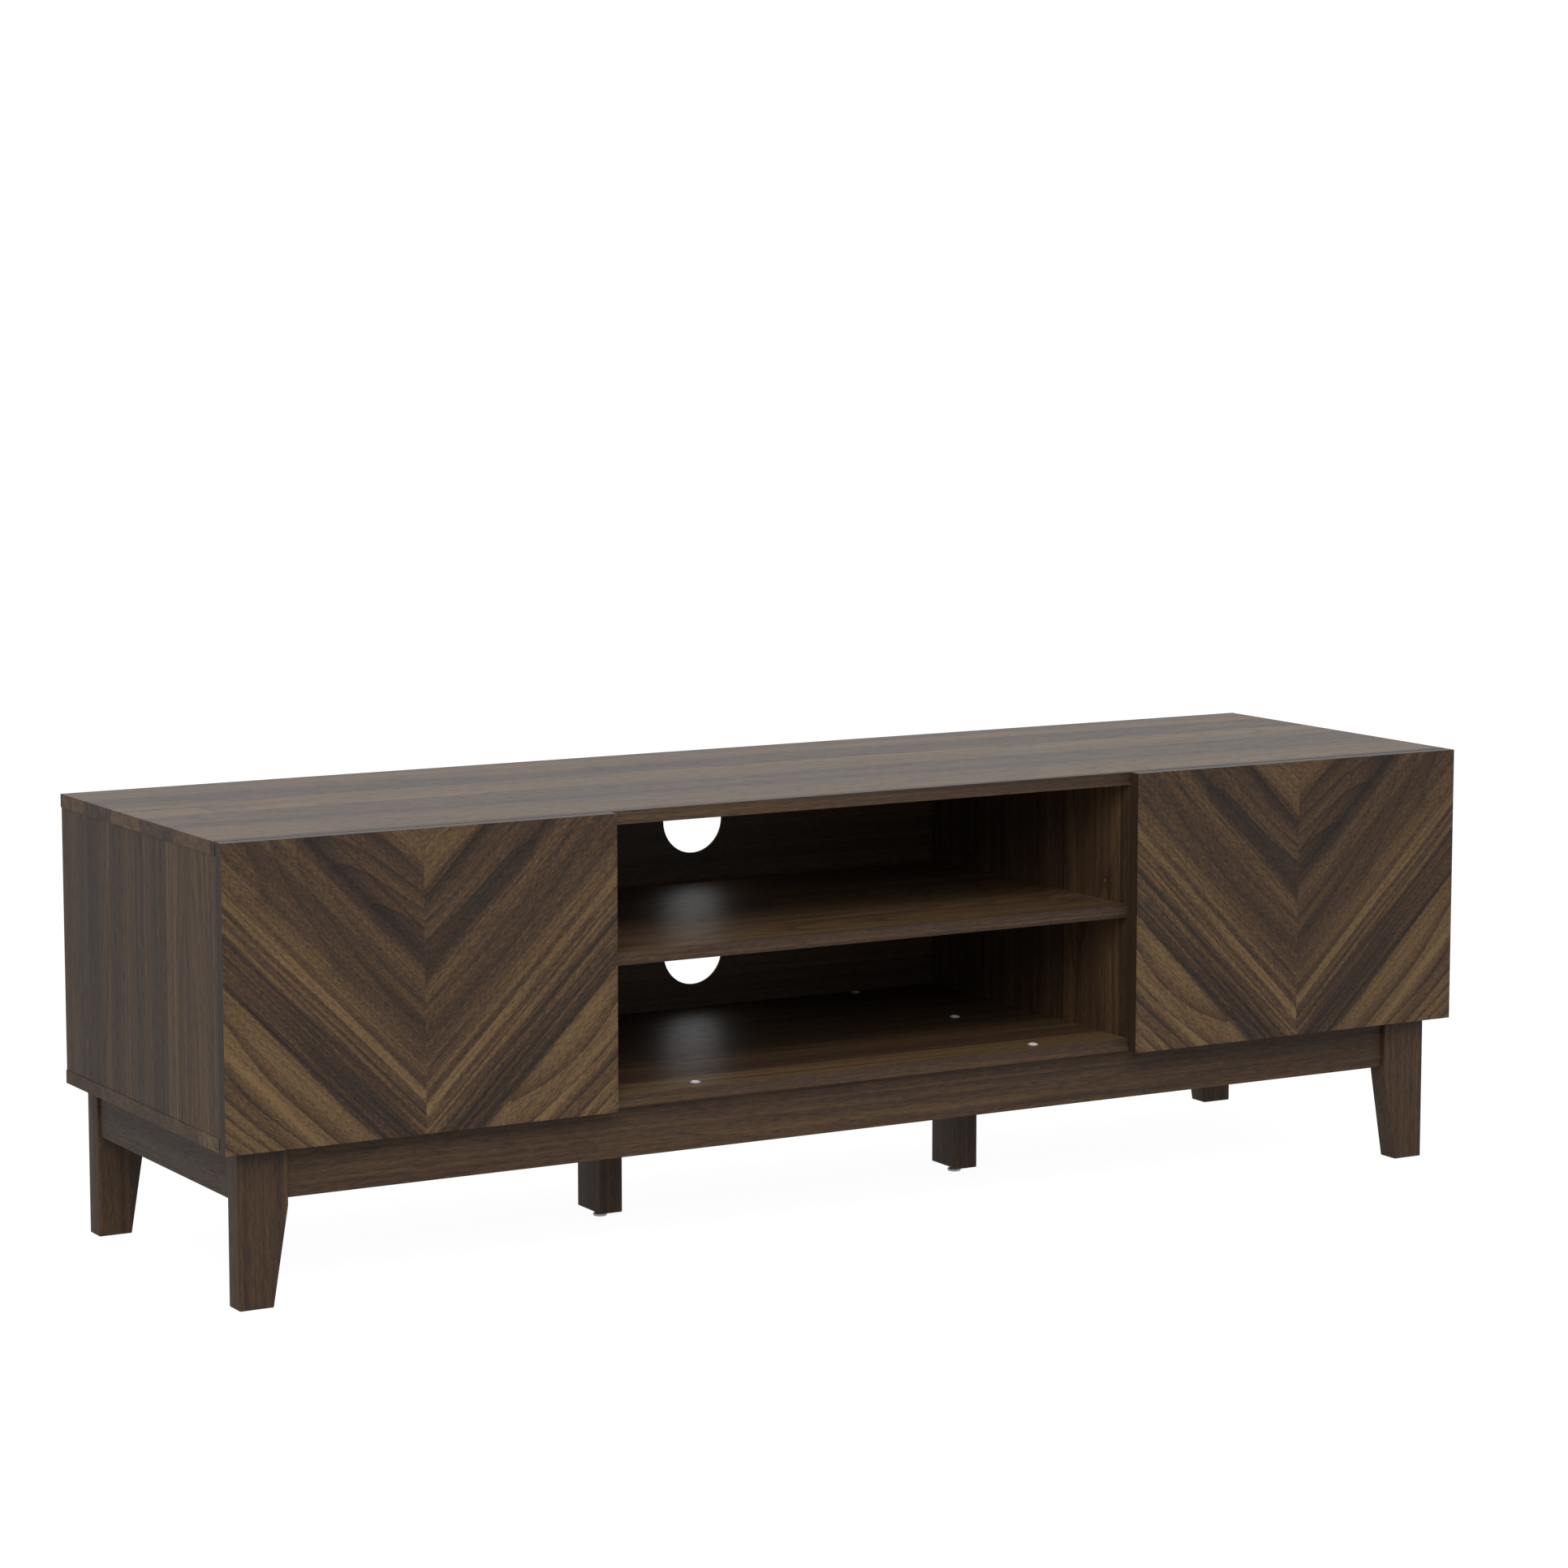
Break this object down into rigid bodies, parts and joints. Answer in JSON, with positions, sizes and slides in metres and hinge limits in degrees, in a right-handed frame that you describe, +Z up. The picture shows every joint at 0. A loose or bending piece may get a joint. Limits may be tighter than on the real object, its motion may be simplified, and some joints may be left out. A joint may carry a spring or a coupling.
{
  "type": "tv stand with doors",
  "caption": "Low media cabinet on tapered legs: an open middle bay with a shelf between two cupboards with handleless chevron doors.",
  "frame": {"origin": "middle of the footprint, on the floor", "axes": "+X to the right along the width, +Y to the back, +Z up; the doors face -Y"},
  "size_m": [1.6, 0.455, 0.5],
  "materials": {
    "dark_walnut": "dark walnut laminate, satin, fine open grain",
    "chevron_veneer": "satin wood print, book-matched diagonal grain",
    "beech": "plain fluted dowel",
    "zinc_steel": "zinc plated",
    "nickel_steel": "nickel plated",
    "brass_insert": "turned",
    "latch_plastic": "moulded",
    "plunger_plastic": "moulded",
    "bumper_gel": "clear soft dot"
  },
  "bodies": {
    "root": {"top_panel": "dark_walnut", "bottom_panel": "dark_walnut", "left_side_panel": "dark_walnut", "right_side_panel": "dark_walnut", "left_divider": "dark_walnut", "right_divider": "dark_walnut", "center_shelf": "dark_walnut", "left_cabinet_shelf": "dark_walnut", "right_cabinet_shelf": "dark_walnut", "back_panel": "dark_walnut", "cam_locks": "zinc_steel", "cam_bolts": "zinc_steel", "carcass_dowels": "beech", "shelf_screws": "zinc_steel", "shelf_pins": "zinc_steel", "front_apron": "dark_walnut", "rear_apron": "dark_walnut", "left_apron": "dark_walnut", "right_apron": "dark_walnut", "front_left_leg": "dark_walnut", "front_right_leg": "dark_walnut", "rear_left_leg": "dark_walnut", "rear_right_leg": "dark_walnut", "left_middle_leg": "dark_walnut", "right_middle_leg": "dark_walnut", "base_dowels": "beech", "corner_brackets": "zinc_steel", "bracket_screws": "zinc_steel", "base_screws": "zinc_steel", "middle_leg_bolts": "zinc_steel", "leveller_inserts": "brass_insert", "hinge_plates": "nickel_steel", "hinge_plate_screws": "zinc_steel", "hinge_arms": "nickel_steel", "hinge_arm_pins": "zinc_steel", "latch_housings": "latch_plastic", "latch_screws": "zinc_steel", "latch_springs": "zinc_steel"},
    "left_links": {"left_hinge_links": "nickel_steel"},
    "left_door_leaf": {"left_door": "chevron_veneer", "left_hinge_cups": "nickel_steel", "left_cup_screws": "zinc_steel", "left_cup_pins": "zinc_steel", "left_strike_plate": "zinc_steel", "left_strike_screw": "zinc_steel", "left_bumpers": "bumper_gel"},
    "left_plunger": {"left_latch_plunger": "plunger_plastic"},
    "left_foot": {"left_leveller": "zinc_steel"},
    "right_links": {"right_hinge_links": "nickel_steel"},
    "right_door_leaf": {"right_door": "chevron_veneer", "right_hinge_cups": "nickel_steel", "right_cup_screws": "zinc_steel", "right_cup_pins": "zinc_steel", "right_strike_plate": "zinc_steel", "right_strike_screw": "zinc_steel", "right_bumpers": "bumper_gel"},
    "right_plunger": {"right_latch_plunger": "plunger_plastic"},
    "right_foot": {"right_leveller": "zinc_steel"}
  },
  "joints": [
    {"name": "left_link_swing", "type": "hinge", "parent": "root", "child": "left_links", "pos_m": [-0.754, -0.2082, 0.334], "axis": [0, 0, 1], "range_deg": [0, 31.2]},
    {"name": "left_door_turn", "type": "hinge", "parent": "left_links", "child": "left_door_leaf", "pos_m": [-0.7871, -0.216, 0.334], "axis": [0, 0, -1], "range_deg": [0, 126.2]},
    {"name": "left_plunger_slide", "type": "slide", "parent": "root", "child": "left_plunger", "axis": [0, -1, 0], "range_m": [0, 0.01]},
    {"name": "left_leveller_screw", "type": "slide", "parent": "root", "child": "left_foot", "axis": [0, 0, 1], "range_m": [-0.006, 0.003]},
    {"name": "right_link_swing", "type": "hinge", "parent": "root", "child": "right_links", "pos_m": [0.754, -0.2082, 0.334], "axis": [0, 0, -1], "range_deg": [0, 31.2]},
    {"name": "right_door_turn", "type": "hinge", "parent": "right_links", "child": "right_door_leaf", "pos_m": [0.7871, -0.216, 0.334], "axis": [0, 0, 1], "range_deg": [0, 126.2]},
    {"name": "right_plunger_slide", "type": "slide", "parent": "root", "child": "right_plunger", "axis": [0, -1, 0], "range_m": [0, 0.01]},
    {"name": "right_leveller_screw", "type": "slide", "parent": "root", "child": "right_foot", "axis": [0, 0, 1], "range_m": [-0.006, 0.003]}
  ],
  "couplings": [
    {"joint": "left_link_swing", "follows": "left_door_turn", "ratio": 0.2472},
    {"joint": "left_plunger_slide", "follows": "left_door_turn", "m_per_rad": 0.00454},
    {"joint": "right_link_swing", "follows": "right_door_turn", "ratio": 0.2472},
    {"joint": "right_plunger_slide", "follows": "right_door_turn", "m_per_rad": 0.00454}
  ]
}
